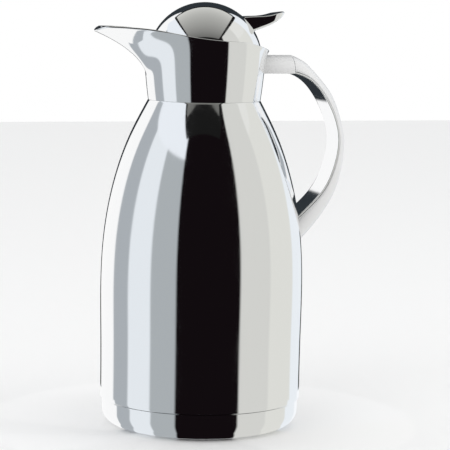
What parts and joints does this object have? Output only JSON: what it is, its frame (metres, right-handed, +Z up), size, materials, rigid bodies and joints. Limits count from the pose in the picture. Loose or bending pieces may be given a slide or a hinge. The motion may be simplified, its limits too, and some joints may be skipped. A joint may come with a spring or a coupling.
{
  "type": "vacuum jug",
  "caption": "Tall bell-shaped vacuum jug with a flared spout collar, curved handle and domed screw stopper whose thumb lever opens the pouring valve.",
  "frame": {"origin": "centre of the foot pad's underside, on the jug's axis", "axes": "+Z up the jug's axis; the handle points along +X and the spout along -X"},
  "size_m": [0.1787, 0.1384, 0.2885],
  "materials": {
    "polished_steel": "mirror polished",
    "satin_steel": "fine satin",
    "screw_steel": "plain",
    "black_plastic": "fine texture",
    "grey_plastic": "moulded",
    "silvered_glass": "silvered inside",
    "ceramic_pad": "fibrous",
    "foam_rubber": "soft",
    "seal_rubber": "translucent silicone",
    "foot_rubber": "matte"
  },
  "bodies": {
    "jug": {"outer_shell": "polished_steel", "base_thread_ring": "grey_plastic", "flask_outer": "silvered_glass", "flask_inner": "silvered_glass", "flask_spacers": "ceramic_pad", "shoulder_buffer": "foam_rubber", "spout_collar": "polished_steel", "collar_seal": "seal_rubber", "neck_insert": "black_plastic", "neck_nut": "black_plastic", "mouth_gasket": "seal_rubber", "handle_bracket": "satin_steel", "handle_grip": "satin_steel", "handle_inner_strip": "polished_steel", "handle_screw": "screw_steel", "handle_washer": "screw_steel"},
    "base": {"base_cap": "polished_steel", "base_insert": "grey_plastic", "foot_pad": "foot_rubber", "liner_cradle": "foam_rubber"},
    "stopper_ring": {"stopper_seal": "seal_rubber"},
    "closure": {"closure_body": "black_plastic", "dome_cover": "polished_steel", "lever_carrier": "black_plastic", "carrier_screws": "screw_steel", "lever_pin": "screw_steel", "stem_seal": "seal_rubber", "valve_spring": "screw_steel"},
    "lever": {"thumb_lever": "polished_steel"},
    "valve": {"valve_stem": "screw_steel", "stem_head": "black_plastic", "valve_washer": "seal_rubber", "valve_disc": "black_plastic"}
  },
  "joints": [
    {"name": "base_turn", "type": "hinge", "parent": "jug", "child": "base", "pos_m": [0, 0, 0], "axis": [0, 0, 1], "range_deg": [0, 90]},
    {"name": "stopper_lift", "type": "slide", "parent": "jug", "child": "stopper_ring", "axis": [0, 0, 1], "range_m": [0, 0.12]},
    {"name": "stopper_turn", "type": "hinge", "parent": "stopper_ring", "child": "closure", "pos_m": [0, 0, 0], "axis": [0, 0, 1], "range_deg": [0, 90]},
    {"name": "lever_press", "type": "hinge", "parent": "closure", "child": "lever", "pos_m": [0.02, 0, 0.262], "axis": [0, 1, 0], "range_deg": [0, 8]},
    {"name": "valve_lift", "type": "slide", "parent": "closure", "child": "valve", "axis": [0, 0, 1], "range_m": [0, 0.00279], "stiffness_N_per_m": 80, "springref_m": -0.006, "deforming": ["valve_spring"]}
  ],
  "couplings": [
    {"joint": "lever_press", "follows": "valve_lift", "rad_per_m": 50}
  ]
}
